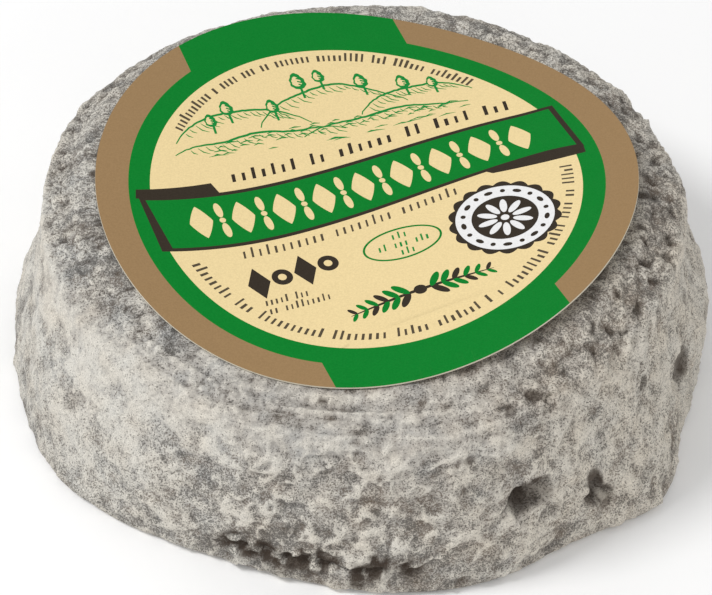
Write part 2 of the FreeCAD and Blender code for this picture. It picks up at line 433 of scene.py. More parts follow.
def draw_ridge(art, rng, ridge):
    """One ridge, with short strokes down its slope."""
    path = wobble(rng, ridge_line(*ridge), 0.06)
    art.add("leaf", stroke(path, RIDGE_PEN, taper=0.6))
    for i in range(4, len(path) - 6, 2):
        x, y = path[i][0], path[i][1] - 0.35
        fall = rng.uniform(0.9, 1.9)
        slope = [(x, y), (x + 0.3 * fall, y - 0.5 * fall), (x + 0.8 * fall, y - 0.8 * fall)]
        art.add("leaf", stroke(wobble(rng, slope, 0.05), SLOPE_PEN, 0.6))


def draw_tree(art, rng, x, y, size):
    """A trunk and a pointed crown, open inside, with slanting twigs."""
    trunk = [(x, y - 1.3 * size), (x + 0.05, y), (x, y + 0.5)]
    art.add("leaf", stroke(wobble(rng, trunk, 0.04), TRUNK_PEN))
    crown = []
    for k in range(36):
        turn = 2.0 * math.pi * k / 36
        swell = 0.78 * size * (1.0 + 0.08 * math.sin(9.0 * turn + x)) * (1.0 + 0.3 * math.cos(turn))
        crown.append((x + swell * math.sin(turn), y + 1.15 * size * (1.0 - math.cos(turn))))
    art.add("leaf", crown)
    inner = [(x - 0.12 + 0.6 * (px - x), y + 0.42 * size + 0.6 * (py - y)) for px, py in crown]
    art.add("cream", inner)
    for k in range(4):
        v = y + (0.55 + 0.42 * k) * size
        twig = [(x + 0.02, v + 0.2), (x + 0.45 * size, v - 0.15)]
        art.add("leaf", stroke(wobble(rng, twig, 0.03), TWIG_PEN))


def draw_grass(art, rng, x, y, length, rise, shake, pen, taper):
    blade = [(x, y), (x + 0.5 * length, y + rise), (x + length, y)]
    art.add("leaf", stroke(wobble(rng, blade, shake), pen, taper))


def draw_hills(art):
    """Rolling pasture with pointed trees, in loose green pen strokes."""
    rng = random.Random(11)
    for ridge in RIDGES:
        draw_ridge(art, rng, ridge)
    for x, y, size in TREES:
        draw_tree(art, rng, x, y, size)
    rows, tufts = 4, 11
    for row in range(rows):
        for i in range(tufts):
            x = -17.0 + 3.1 * i + 0.8 * row + rng.uniform(-0.5, 0.5)
            y = 11.6 + 0.42 * row + 1.4 * math.sin(math.pi * (i + 0.5 * row) / 11.5)
            draw_grass(art, rng, x, y, rng.uniform(0.9, 2.1), 0.2, 0.06, GRASS_PEN, 0.7)
    for _ in range(16):
        x = rng.uniform(-20.0, 18.0)
        y = rng.uniform(10.7, 11.6)
        draw_grass(art, rng, x, y, rng.uniform(1.2, 3.2), 0.15, 0.08, FIELD_PEN, 0.8)


def draw_print():
    art = Print()
    draw_ground(art)
    draw_hills(art)
    draw_lines(art)
    draw_ribbon(art)
    draw_ribbon_ornament(art)
    draw_weights(art)
    draw_oval(art)
    draw_rosette(art)
    draw_spray(art)
    return art


def inside(points, outline):
    """Which points lie inside an outline, by the even-odd rule."""
    ring = np.array(outline)
    result = np.zeros(len(points), bool)
    near = np.all((points >= ring.min(0)) & (points <= ring.max(0)), axis=1)
    x, y = points[near, 0], points[near, 1]
    odd = np.zeros(len(x), bool)
    for (x0, y0), (x1, y1) in zip(ring, np.roll(ring, -1, axis=0)):
        if y0 != y1:
            crosses = (y0 > y) != (y1 > y)
            odd ^= crosses & (x < x0 + (y - y0) * (x1 - x0) / (y1 - y0))
    result[near] = odd
    return result


PAPER_GRID = 1.1            # spacing of the extra corners that let the paper bend


def cut_print(art, inks):
    """Triangulate the print so that each triangle has one ink."""
    corners, edges = [], []
    for ink, points in art.shapes:
        first, count = len(corners), len(points)
        corners.extend(points)
        edges += [(first + i, first + (i + 1) % count) for i in range(count)]
    reach = int(LABEL_RADIUS / PAPER_GRID) + 2
    for i in range(-reach, reach + 1):
        for j in range(-reach, reach + 1):
            x, y = (i + 0.5 * (j % 2)) * PAPER_GRID, j * PAPER_GRID * 0.87
            if math.hypot(x, y) < LABEL_RADIUS - 0.5:
                corners.append((x, y))
    result = geometry.delaunay_2d_cdt([Vector(c) for c in corners], edges, [], 0, 1e-5, False)
    flat = np.array([tuple(v) for v in result[0]])
    triangles = np.array(result[2])
    middles = flat[triangles].mean(1)
    colours = np.zeros(len(triangles), int)
    for ink, points in art.shapes:
        colours[inside(middles, points)] = inks.index(ink)
    return flat, triangles, colours


def link_mesh(name, vertices, faces):
    mesh = bpy.data.meshes.new(name)
    mesh.from_pydata(vertices, [], faces)
    piece = bpy.data.objects.new(name, mesh)
    bpy.context.scene.collection.objects.link(piece)
    return piece


def outer_edges(triangles):
    """Edges that only one triangle has, in the direction it runs them."""
    directed = {}
    for t in triangles:
        for a, b in ((t[0], t[1]), (t[1], t[2]), (t[2], t[0])):
            directed[(a, b)] = True
    return [(a, b) for a, b in directed if (b, a) not in directed]


def make_label(inks):
    """The sheet with its print; returns it and the place of its middle in mm."""
    flat, triangles, colours = cut_print(draw_print(), inks)
    triangles = [tuple(t) for t in triangles.tolist()]
    wave = 0.05 * noise_field(np.c_[flat, np.full(len(flat), 4.0)], 11.0, seed=2)
    wave *= smooth_step(1.0, 6.0, LABEL_RADIUS - np.hypot(flat[:, 0], flat[:, 1]))
    over = bend_paper(flat, LABEL_THICKNESS + wave)
    under = bend_paper(flat, 0.0)
    total = len(flat)
    rim = outer_edges(triangles)
    faces = list(triangles)
    faces += [tuple(c + total for c in t[::-1]) for t in triangles]
    faces += [(b, a, a + total, b + total) for a, b in rim]
    paper = inks.index("paper")
    material = list(colours) + [paper] * (len(triangles) + len(rim))
    vertices = np.concatenate([over, under])
    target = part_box("label")
    shift = np.array(target[0]) / MM - vertices.min(0)
    shift += 0.5 * (np.array(target[1]) / MM - (vertices + shift).max(0))
    piece = link_mesh("printed_label", ((vertices + shift) * MM).tolist(), faces)
    piece.data.polygons.foreach_set("material_index", material)
    piece.data.polygons.foreach_set("use_smooth", [True] * len(faces))
    sharp = {tuple(sorted((a + side, b + side))) for a, b in rim for side in (0, total)}
    for edge in piece.data.edges:
        if tuple(sorted(edge.vertices)) in sharp:
            edge.use_edge_sharp = True
    return piece, shift


# ============================== the rind
AROUND = 840                # columns of the grid; its rows run from foot to middle
INNER_RADIUS = 36.5         # pivot of the rays that reach rim and border
INNER_HEIGHT = 19.0
FOOT_RADIUS = 40.0          # pivot of the rays that reach the foot
FOOT_HEIGHT = 4.0
WALL_ROWS = 46
RIM_ROWS = 42
FOOT_ROWS = 14
UNDER_LABEL = (35.8, 35.0, 34.0, 32.5, 30.0, 25.0, 18.0, 10.0)


def ray_plan():
    """Each row: radius and height where its rays start, and their elevation."""
    rows = []
    for i in range(FOOT_ROWS):
        share = i / FOOT_ROWS
        rows.append((FOOT_RADIUS, FOOT_HEIGHT, -90.0 + 90.0 * share ** 0.9))
    for i in range(WALL_ROWS):
        height = FOOT_HEIGHT + (INNER_HEIGHT - FOOT_HEIGHT) * i / WALL_ROWS
        rows.append((INNER_RADIUS - 4.0, height, 0.0))
    for i in range(RIM_ROWS + 1):
        rows.append((INNER_RADIUS, INNER_HEIGHT, 90.0 * i / RIM_ROWS))
    for radius in UNDER_LABEL:
        rows.append((radius, INNER_HEIGHT, 90.0))
    return rows


def lay_grid(tree):
    """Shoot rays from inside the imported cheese; returns points (rows, around)."""
    rows = ray_plan()
    grid = np.zeros((len(rows), AROUND, 3))
    for r, (radius, height, rise) in enumerate(rows):
        up, out = math.sin(math.radians(rise)), math.cos(math.radians(rise))
        for c in range(AROUND):
            turn = 2.0 * math.pi * c / AROUND
            cx, sx = math.cos(turn), math.sin(turn)
            start = Vector((radius * cx * MM, radius * sx * MM, height * MM))
            hit = tree.ray_cast(start, Vector((out * cx, out * sx, up)))[0]
            grid[r, c] = (hit[0] / MM, hit[1] / MM, hit[2] / MM)
    return grid


def soften(field, rows, columns, times=2):
    """Box blur over the grid, wrapping round the cheese."""
    for _ in range(times):
        total = np.zeros_like(field)
        for shift in range(-columns, columns + 1):
            total += np.roll(field, shift, axis=1)
        field = total / (2 * columns + 1)
        padded = np.concatenate([np.repeat(field[:1], rows, 0), field, np.repeat(field[-1:], rows, 0)])
        total = np.zeros_like(field)
        for shift in range(2 * rows + 1):
            total += padded[shift:shift + len(field)]
        field = total / (2 * rows + 1)
    return field


def grid_normals(grid):
    around = np.roll(grid, -1, axis=1) - np.roll(grid, 1, axis=1)
    along = np.gradient(grid, axis=0)
    normal = np.cross(around, along)
    return normal / (np.linalg.norm(normal, axis=2, keepdims=True) + 1e-9)


def fractal_field(points, size, octaves, seed):
    """Rough noise with features from size mm down, about -1..1."""
    scaled = points / size + seed_offset(seed)
    return np.array([noise.fractal(Vector(p), 0.8, 2.0, octaves) for p in scaled.tolist()])


def winding(points, size, width, seed, warp=0.6):
    """1 on winding veins about width wide, spaced about size mm apart."""
    bend = np.stack([noise_field(points, size, seed=seed + k + 1) for k in range(3)], 1)
    field = noise_field(points + bend * size * warp, size, seed=seed)
    return smooth_step(0.32 * width / size, 0.0, np.abs(field))


def lump_field(points, size, seed):
    """Rounded lumps about size mm wide with cracks between: 1 on top, 0 in cracks."""
    scaled = points / size + seed_offset(seed)
    result = []
    for p in scaled.tolist():
        near = noise.voronoi(Vector(p))[0]
        result.append(near[1] - near[0])
    return np.clip(np.array(result) * 1.6, 0.0, 1.0) ** 0.6


# Humps round the cheese: azimuth and half width in degrees, weight
FRONT_SIDE = ((272.0, 36.0, 1.15), (75.0, 30.0, 0.8))
LEFT_SIDE = ((198.0, 34.0, 1.1), (130.0, 25.0, 0.6))
BRIGHT_BORDER = ((160.0, 50.0, 0.12), (65.0, 35.0, 0.1), (80.0, 22.0, 0.12))
# Single zones: azimuth and half width in degrees
CREEPING = (216.0, 34.0)    # felt creeps over the rim
PRESSED = (263.0, 32.0)     # the near rim is pressed into fine bands
TORN = (350.0, 42.0)        # the rim at the right is torn and pitted
WRINKLED = (318.0, 22.0)
CRUMBLY_LEFT = (190.0, 45.0)
CRUMBLY_RIGHT = ((60.0, 80.0), (20.0, 60.0))
RAISED_RIM = (205.0, 40.0)
FELT_LIP = (214.0, 34.0)
THICK_FELT = (262.0, 26.0)
WARM_RIGHT = (335.0, 50.0)
WARM_FRONT = (275.0, 40.0)
# The low gap's darkness is painted shade
LOW_GAP = (277.0, 14.0)     # a thin dark gap near the floor
FELT_START = 39.3           # radius where the bare border ends and felt begins
FELT_START_LEFT = 1.9       # further out by this at the left
BAND_RADIUS = 42.0          # of the near rim, round which the bands run
BAND_LENGTH = 14.0          # the bands' stretch along the rim
CREASE_START, CREASE_END, CREASE_HEIGHT = 249.0, 281.0, 4.2
FLECK_AT = (-4.0, -35.5)    # a brown speck by the label's near edge
# Pale tufts of felt: azimuth, height, radius
PALE_SPOTS = ((299.0, 19.0, 2.6), (288.0, 17.0, 1.5), (314.0, 5.5, 0.9))
# Small marks: azimuth, height, half width, half height, lean, depth, darkness; the darkness is painted
# shade in and round the pits
MARKS = (
    (300.0, 12.0, 3.3, 2.2, -0.1, 0.0, 0.45),
    (298.0, 11.5, 1.7, 1.9, 0.0, 0.5, 1.0),
    (300.5, 13.5, 2.2, 0.6, -0.1, 0.0, 0.9),
    (312.5, 7.0, 2.4, 1.7, -0.2, 0.35, 0.85),
    (312.0, 9.0, 1.25, 2.6, 0.1, 0.4, 1.0),
    (314.0, 5.5, 0.9, 0.8, 0.0, 0.3, 0.9),
    (341.5, 11.0, 2.4, 2.7, 0.1, 0.3, 0.95),
    (303.0, 24.0, 1.5, 0.4, -0.15, 0.45, 1.0),
    (297.5, 23.5, 0.8, 0.5, 0.3, 0.35, 0.7),
    (289.0, 19.5, 0.9, 0.6, 0.0, 0.25, 0.5),
    (326.0, 17.5, 1.1, 0.8, 0.6, 0.35, 0.6),
    (331.0, 5.2, 1.2, 0.8, 0.0, 0.3, 0.45),
    (349.0, 17.0, 1.0, 1.3, 0.0, 0.35, 0.5),
    (9.0, 14.0, 1.6, 1.0, 0.0, 0.4, 0.5),
    (200.0, 3.7, 2.0, 1.0, 0.0, 0.3, 0.4),
)

# Relief in mm that each shape gives, zone by zone
FRONT_RELIEF = {"veins": 0.42, "thread": 0.06, "wisp": 0.09}
LEFT_RELIEF = {"streaks": 0.16, "thread": 0.09, "wisp": 0.1}
RIGHT_RELIEF = {"streaks": 0.26, "veins": 0.12, "wisp": 0.14}
CRUMBLY_RELIEF = {"lumps": 0.42, "pores": -0.2, "wisp": 0.25}
PRESSED_RELIEF = {"bands": 0.36, "wisp": 0.08}
TORN_RELIEF = {"dents": 0.5, "wisp": 0.3, "pores": -0.5}
# Brightness, 0 dark to 1 pale: the level of each side, and what the shapes add. The right side's level
# is painted paler because the lamps light that side less.
FRONT_LEVEL, LEFT_LEVEL, RIGHT_LEVEL_WITH_PAINTED_LIGHT, TOP_LEVEL = 0.73, 0.79, 0.98, 0.6
FRONT_TONE = {"thick_felt": 1.0, "thread": 0.06, "veil": 0.12, "wisp": 0.14}
LEFT_TONE = {"streaks": 0.16, "thread": 0.08, "wisp": 0.14, "veil": 0.14}
RIGHT_TONE = {"streaks": 0.13, "felt": 0.09, "wisp": 0.16, "veil": 0.1}
# Painted shade on the top: lighter on the lumps, darker in the cracks between them and in the pores
TOP_TONE = {"wisp": 0.14, "veil": 0.07, "thread": 0.06, "painted_mound_shade": 0.1, "pores": -0.16}


def weighted(shapes, weights):
    """Sum of named shapes, each times its weight."""
    return sum(weight * getattr(shapes, name) for name, weight in weights.items())


def mark_fields(azimuth, radius, height):
    """Depth of the small marks, and the darkness painted in them as shade."""
    depth, dark = np.zeros(len(azimuth)), np.zeros(len(azimuth))
    for at, up, wide, tall, lean, sink, shade in MARKS:
        across = np.radians((azimuth - at + 180.0) % 360.0 - 180.0) * radius
        above = height - up
        u = (across * math.cos(lean) + above * math.sin(lean)) / wide
        v = (above * math.cos(lean) - across * math.sin(lean)) / tall
        away = np.sqrt(u * u + v * v)
        depth = np.maximum(depth, sink * smooth_step(1.1, 0.5, away))
        dark = np.maximum(dark, shade * smooth_step(1.1, 0.75, away))
    return depth, dark


def pale_field(azimuth, radius, height):
    """1 on the pale tufts."""
    pale = np.zeros(len(height))
    for at, up, wide in PALE_SPOTS:
        away = np.hypot(np.radians(azimuth - at) * radius, height - up) / wide
        pale = np.maximum(pale, smooth_step(1.0, 0.3, away))
    return pale


def rind_shapes(points, azimuth, radius, along):
    """Noise that relief and colour share, by name. Sizes are in mm."""
    broad = noise_field(points, 11.0, seed=1)
    dents = fractal_field(points, 4.4, 2, seed=2)
    patches = smooth_step(-0.5, 0.25, fractal_field(points, 2.6, 2, seed=23))
    veins = winding(points, 2.9, 2.4, seed=3, warp=0.8) * patches
    thread = winding(points, 1.9, 1.0, seed=13)
    veil = fractal_field(points, 6.5, 3, seed=4)
    wisp = fractal_field(points, 1.7, 3, seed=5)
    grain = noise_field(points, 0.8, seed=8)
    streaks = noise_field(points, 1.3, (1.0, 1.0, 4.0), seed=6) + 0.6 * noise_field(
        points, 3.0, (1.0, 1.0, 3.0), seed=16)
    lumps = lump_field(points + 0.7 * np.stack([wisp, grain, dents], 1), 1.6, seed=7)
    shaken = points + 0.8 * np.stack([wisp, veil, dents], 1)
    pores = smooth_step(0.16, 0.5, noise_field(shaken, 1.6, seed=10))
    x, y = points[:, 0], points[:, 1]
    ring = np.stack([BAND_RADIUS * x / radius / BAND_LENGTH, BAND_RADIUS * y / radius / BAND_LENGTH,
                     along + 0.25 * dents + 0.6 * broad], 1)
    bands = noise_field(ring, 1.1, seed=11) + 0.5 * noise_field(ring, 0.5, seed=12)
    u, v = np.radians(azimuth - 320.0) * radius, along
    slant = np.stack([(u * 0.8 + v * 0.6) / 4.5, v * 0.8 - u * 0.6 + 0.6 * dents, 0.0 * u], 1)
    wrinkles = noise_field(slant, 1.3, seed=14) * turn_hump(azimuth, *WRINKLED)
    felt = (veins - 0.36) * smooth_step(-0.6, 0.1, veil)
    thick_felt = (0.34 + 0.28 * turn_hump(azimuth, *THICK_FELT)) * felt
    return SimpleNamespace(broad=broad, dents=dents, veins=veins, thread=thread, veil=veil,
                           wisp=wisp, grain=grain, streaks=streaks, lumps=lumps, pores=pores,
                           bands=bands, wrinkles=wrinkles, felt=felt, thick_felt=thick_felt,
                           painted_mound_shade=lumps - 0.7)


def rind_zones(points, azimuth, radius, rise, shapes):
    """How far each point belongs to each part of the rind, 0 to 1."""
    front = np.clip(turn_humps(azimuth, FRONT_SIDE), 0.0, 1.0)
    left = np.clip(turn_humps(azimuth, LEFT_SIDE), 0.0, 1.0) * (1.0 - front)
    right = np.clip(1.0 - front - left, 0.0, 1.0)
    felt_start = (FELT_START + FELT_START_LEFT * smooth_step(222.0, 196.0, azimuth)
                  + 0.8 * shapes.wisp + 0.5 * shapes.dents)
    creeping = turn_hump(azimuth, *CREEPING) * smooth_step(-0.6, 0.5, radius - felt_start)
    top = smooth_step(0.5, 0.9, rise) * (1.0 - creeping)
    crumbly = turn_hump(azimuth, *CRUMBLY_LEFT)
    crumbly += 0.8 * turn_hump(azimuth, *CRUMBLY_RIGHT[0]) * turn_hump(azimuth, *CRUMBLY_RIGHT[1])
    crumbly = top * np.clip(crumbly + 0.2, 0.0, 1.0)
    pressed = turn_hump(azimuth, *PRESSED) * smooth_step(0.15, 0.5, rise) * (1.0 - 0.7 * creeping)
    torn = turn_hump(azimuth, *TORN) * smooth_step(0.35, 0.8, rise)
    split = smooth_step(-0.3, 0.3, fractal_field(points, 2.2, 2, seed=24))
    cracks = crumbly * smooth_step(0.42, 0.14, shapes.lumps) * split
    felt_lip = np.maximum(hump(rise, 0.5, 0.16), 0.8 * hump(radius, felt_start + 1.2, 1.6))
    felt_lip = felt_lip * turn_hump(azimuth, *FELT_LIP) * smooth_step(0.0, 0.3, rise)
    return SimpleNamespace(front=front, left=left, right=right, top=top, wall=1.0 - top,
                           under=smooth_step(0.3, 0.8, -rise), crumbly=crumbly, pressed=pressed,
                           torn=torn, cracks=cracks, felt_lip=felt_lip)


def crease_shapes(points, azimuth, shapes):
    """The broken crease above the foot: where it runs, its lumps and its depth."""
    z = points[:, 2]
    line = CREASE_HEIGHT + 0.9 * noise_field(points * np.array([1.0, 1.0, 0.0]), 5.0, seed=17)
    run = smooth_step(CREASE_START - 4.0, CREASE_START + 4.0, azimuth)
    run *= smooth_step(CREASE_END + 4.0, CREASE_END - 4.0, azimuth)
    run *= smooth_step(-0.5, 0.0, noise_field(points, 2.8, (1.0, 1.0, 3.0), seed=18))
    blobs = smooth_step(0.2, 0.45, noise_field(points, 1.3, seed=22))
    ragged = line + 0.9 * shapes.wisp + 0.6 * shapes.grain
    depth = run * hump(z, ragged, 1.35) * (1.0 - 0.9 * blobs)
    low_gap = turn_hump(azimuth, *LOW_GAP) * hump(z, 1.4, 0.45) * smooth_step(
        -0.1, 0.25, noise_field(points, 2.2, (1.0, 1.0, 3.0), seed=19))
    return SimpleNamespace(line=line, run=run, blobs=blobs, depth=depth, low_gap=low_gap)


def relief_height(points, azimuth, rise, hollow, shapes, zones, crease, sink):
    """How far the rind stands out, in mm."""
    z = points[:, 2]
    wall, wisp = zones.wall, shapes.wisp
    relief = 0.55 * shapes.broad + 0.3 * shapes.dents * (0.5 + 0.5 * wall)
    relief += wall * zones.front * weighted(shapes, FRONT_RELIEF)
    relief += wall * zones.left * weighted(shapes, LEFT_RELIEF)
    relief += wall * zones.right * weighted(shapes, RIGHT_RELIEF)
    relief += zones.crumbly * weighted(shapes, CRUMBLY_RELIEF)
    relief += (zones.pressed * weighted(shapes, PRESSED_RELIEF)
               + 0.6 * shapes.wrinkles * smooth_step(-0.2, 0.5, rise))
    relief += zones.torn * weighted(shapes, TORN_RELIEF)
    relief += (0.25 + 0.5 * turn_hump(azimuth, *RAISED_RIM)) * hump(rise, 0.62, 0.15)
    relief += 0.07 * shapes.grain - 0.18
    foot = smooth_step(3.6, 0.8, z) * (1.0 - zones.under)
    relief += foot * (0.6 * noise_field(points, 2.6, seed=15) + 0.3 * noise_field(points, 4.6, seed=21)
                      + 0.25 * wisp)
    relief -= sink * (1.0 + 0.5 * wisp) + 0.38 * crease.depth + 0.4 * crease.low_gap
    lower_lip = 0.3 * hump(z, crease.line - 1.5, 0.6)
    relief += crease.run * (lower_lip + 0.35 * crease.blobs * hump(z, crease.line, 0.9))
    return relief * ((1.0 - 0.7 * hollow) * (1.0 - zones.under))


def tone_and_speck(azimuth, z, shapes, zones, crease, pale):
    """Brightness of the rind, with painted shade in its dents and pores and painted light on its right
    side, and how thickly dark specks lie on it.
    """
    wall, top, pressed = zones.wall, zones.top, zones.pressed
    base = wall * (FRONT_LEVEL * zones.front + LEFT_LEVEL * zones.left + RIGHT_LEVEL_WITH_PAINTED_LIGHT * zones.right)
    base += top * (turn_humps(azimuth, BRIGHT_BORDER, TOP_LEVEL) + 0.12 * zones.torn) - 0.04 * pressed
    tone_and_painted_shade = wall * zones.front * (1.0 - 0.6 * pressed) * weighted(shapes, FRONT_TONE)
    tone_and_painted_shade += wall * zones.left * weighted(shapes, LEFT_TONE)
    tone_and_painted_shade += wall * zones.right * weighted(shapes, RIGHT_TONE)
    tone_and_painted_shade += top * weighted(shapes, TOP_TONE)
    tone_and_painted_shade += 0.27 * pressed * shapes.bands
    tone_and_painted_shade += 0.1 * zones.felt_lip
    # Painted shade: darker where the dents sink
    tone_and_painted_shade -= 0.16 * smooth_step(0.1, 0.5, -shapes.dents)
    speck = np.clip(0.54 - 1.9 * tone_and_painted_shade + 0.15 * top - 0.5 * (base - 0.6) - 0.6 * zones.felt_lip
                    - 0.7 * pressed, 0.0, 1.0)
    near_crease = crease.run * hump(z, crease.line + 0.6, 2.2)
    speck = np.clip(speck + 0.5 * near_crease * smooth_step(-0.2, 0.2, shapes.wisp), 0.0, 1.0)
    speck = speck * (1.0 - 0.8 * pale)
    tone_and_painted_shade += base + 0.3 * pale + 0.4 * crease.run * crease.blobs * hump(z, crease.line, 1.1)
    return np.clip(tone_and_painted_shade, 0.0, 1.0), speck


def hole_shade(points, shapes, zones, crease, dark, pale):
    """How dark and brown a point is for lying in a pit, pore, crack or crease: painted shade, with the
    rind's own brown fleck by the label's edge.
    """
    x, y, z = points[:, 0], points[:, 1], points[:, 2]
    pits = np.clip(dark * (0.9 + 0.3 * shapes.wisp), 0.0, 1.0)
    gaps = np.clip(2.0 * crease.depth * (1.0 + 0.5 * shapes.wisp) - 0.15 + 1.3 * crease.low_gap,
                   0.0, 1.0)
    hole_shade_and_fleck = np.maximum(pits, gaps)
    hole_shade_and_fleck = np.maximum(hole_shade_and_fleck, np.maximum(0.6 * zones.torn * shapes.pores, 0.8 * zones.cracks))
    fleck = smooth_step(0.8, 0.4, np.hypot(x - FLECK_AT[0], y - FLECK_AT[1])) * (z > 20.0)
    return np.maximum(hole_shade_and_fleck, fleck) * (1.0 - 0.75 * pale)


def rind_fields(points, normals, hollow, along):
    """Relief in mm and the masks that colour it, for flat arrays of points."""
    azimuth = np.degrees(np.arctan2(points[:, 1], points[:, 0])) % 360.0
    radius = np.hypot(points[:, 0], points[:, 1])
    rise = normals[:, 2]
    z = points[:, 2]
    shapes = rind_shapes(points, azimuth, radius, along)
    zones = rind_zones(points, azimuth, radius, rise, shapes)
    crease = crease_shapes(points, azimuth, shapes)
    sink, dark = mark_fields(azimuth, radius, z)
    pale = pale_field(azimuth, radius, z)
    relief = relief_height(points, azimuth, rise, hollow, shapes, zones, crease, sink)
    tone_and_painted_shade, speck = tone_and_speck(azimuth, z, shapes, zones, crease, pale)
    warm = 0.45 * turn_hump(azimuth, *WARM_RIGHT) + 0.26 + 0.34 * fractal_field(points, 4.2, 3, seed=20)
    warm = np.clip(warm + 0.12 * turn_hump(azimuth, *WARM_FRONT) - 0.15 * zones.pressed, 0.0, 1.0)
    hole_shade_and_fleck = hole_shade(points, shapes, zones, crease, dark, pale)
    return relief, tone_and_painted_shade, speck, warm, hole_shade_and_fleck


def grid_faces(rows):
    """Faces of the closed grid: underside, quads, and a fan round the middle."""
    faces = [tuple(range(AROUND))[::-1]]
    for r in range(rows - 1):
        low, high = r * AROUND, (r + 1) * AROUND
        for c in range(AROUND):
            d = (c + 1) % AROUND
            faces.append((low + c, low + d, high + d, high + c))
    last, hub = (rows - 1) * AROUND, rows * AROUND
    faces += [(last + c, last + (c + 1) % AROUND, hub) for c in range(AROUND)]
    return faces


def make_rind():
    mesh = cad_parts["cheese"].data
    tree = BVHTree.FromPolygons([v.co for v in mesh.vertices], [p.vertices for p in mesh.polygons])
    grid = lay_grid(tree)
    rows = grid.shape[0]
    normals = grid_normals(grid)
    if (normals[rows // 3] * grid[rows // 3]).sum() < 0.0:
        normals = -normals
    smooth_normals = soften(normals, 1, 1)
    smooth_normals /= np.linalg.norm(smooth_normals, axis=2, keepdims=True)
    depth = ((soften(grid, 7, 9) - grid) * soften(normals, 5, 7)).sum(2)
    hollow = smooth_step(0.45, 1.3, depth)
    hollow[-len(UNDER_LABEL):] = 0.0
    hollow[:FOOT_ROWS // 2] = 0.0

    step = np.linalg.norm(np.diff(grid, axis=0), axis=2).mean(1)
    along = np.repeat(np.concatenate([[0.0], np.cumsum(step)]), AROUND)
    relief, tone_and_painted_shade, speck, warm, hole_shade_and_fleck = rind_fields(
        grid.reshape(-1, 3), smooth_normals.reshape(-1, 3), hollow.reshape(-1), along)
    relief = relief.reshape(rows, AROUND)
    # Painted shade and light: darker where the relief sinks below its surroundings, lighter where it
    # stands above them
    painted_cavity_shade = (relief - soften(relief, 2, 3, times=1)).reshape(-1)
    tone_and_painted_shade = np.clip(tone_and_painted_shade + 0.6 * painted_cavity_shade, 0.0, 1.0)
    # Painted shade in the hollows of the cheese's surface
    hole_shade_and_fleck = np.maximum(hole_shade_and_fleck, 0.62 * hollow.reshape(-1))
    relief[-len(UNDER_LABEL):] = np.minimum(relief[-len(UNDER_LABEL):], 0.0) * 0.3
    moved = grid + smooth_normals * relief[..., None]
    moved[..., 2] = np.maximum(moved[..., 2], 0.0)

    vertices = np.concatenate([moved.reshape(-1, 3), [moved[-1].mean(0)]])
    faces = grid_faces(rows)
    piece = link_mesh("rind", (vertices * MM).tolist(), faces)
    piece.data.polygons.foreach_set("use_smooth", [True] * len(faces))
    for name, values in (("tone_and_painted_shade", tone_and_painted_shade), ("speck", speck), ("warm", warm), ("hole_shade_and_fleck", hole_shade_and_fleck)):
        layer = piece.data.attributes.new(name, "FLOAT", "POINT")
        layer.data.foreach_set("value", np.append(values, 0.0).astype(np.float32))
    return piece


# ============================== materials
def new_material(name):
    material = bpy.data.materials.new(name)
    material.use_nodes = True
    tree = material.node_tree
    return material, tree, tree.nodes["Principled BSDF"]


def linear(red, green, blue):
    """Display colour, 0 to 255, as linear light."""
    def one(value):
        v = value / 255.0
        return v / 12.92 if v <= 0.04045 else ((v + 0.055) / 1.055) ** 2.4
    return (one(red), one(green), one(blue), 1.0)


def add_noise(tree, size, detail, roughness):
    """Noise in object space with features about size mm; returns its value."""
    place = tree.nodes.new("ShaderNodeTexCoord")
    texture = tree.nodes.new("ShaderNodeTexNoise")
    texture.inputs["Scale"].default_value = 1.0 / (size * MM)
    texture.inputs["Detail"].default_value = detail
    texture.inputs["Roughness"].default_value = roughness
    tree.links.new(place.outputs["Object"], texture.inputs["Vector"])
    return texture.outputs["Fac"]


def remap(tree, value, low, high, to_low=0.0, to_high=1.0):
    node = tree.nodes.new("ShaderNodeMapRange")
    node.interpolation_type = "SMOOTHSTEP"
    tree.links.new(value, node.inputs["Value"])
    for name, number in (("From Min", low), ("From Max", high), ("To Min", to_low), ("To Max", to_high)):
        node.inputs[name].default_value = number
    return node.outputs["Result"]


def math_node(tree, operation, first, second, clamp=False):
    node = tree.nodes.new("ShaderNodeMath")
    node.operation = operation
    node.use_clamp = clamp
    for socket, value in zip(node.inputs, (first, second)):
        if isinstance(value, (int, float)):
            socket.default_value = value
        else:
            tree.links.new(value, socket)
    return node.outputs[0]


def mix_colour(tree, factor, first, second):
    node = tree.nodes.new("ShaderNodeMix")
    node.data_type = "RGBA"
    factor_socket, first_socket, second_socket = node.inputs[0], node.inputs[6], node.inputs[7]
    for socket, value in ((factor_socket, factor), (first_socket, first), (second_socket, second)):
        if isinstance(value, (int, float, tuple)):
            socket.default_value = value
        else:
            tree.links.new(value, socket)
    return node.outputs[2]


def add_bump(tree, shader, height, strength, distance):
    """Bump of a height over a distance in mm."""
    bump = tree.nodes.new("ShaderNodeBump")
    bump.inputs["Strength"].default_value = strength
    bump.inputs["Distance"].default_value = distance * MM
    tree.links.new(height, bump.inputs["Height"])
    tree.links.new(bump.outputs["Normal"], shader.inputs["Normal"])


def attribute(tree, name):
    node = tree.nodes.new("ShaderNodeAttribute")
    node.attribute_name = name
    return node.outputs["Fac"]


# Display colours of the rind, 0 to 255: grey felt, then the same where it is warm
RIND_DARK = ((134, 134, 132), (140, 126, 110))
RIND_MIDDLE = ((178, 177, 174), (180, 169, 156))
RIND_LIGHT = ((220, 217, 209), (223, 214, 199))
SOOT = ((50, 49, 47), (80, 63, 47))
DUST = (112, 108, 101)
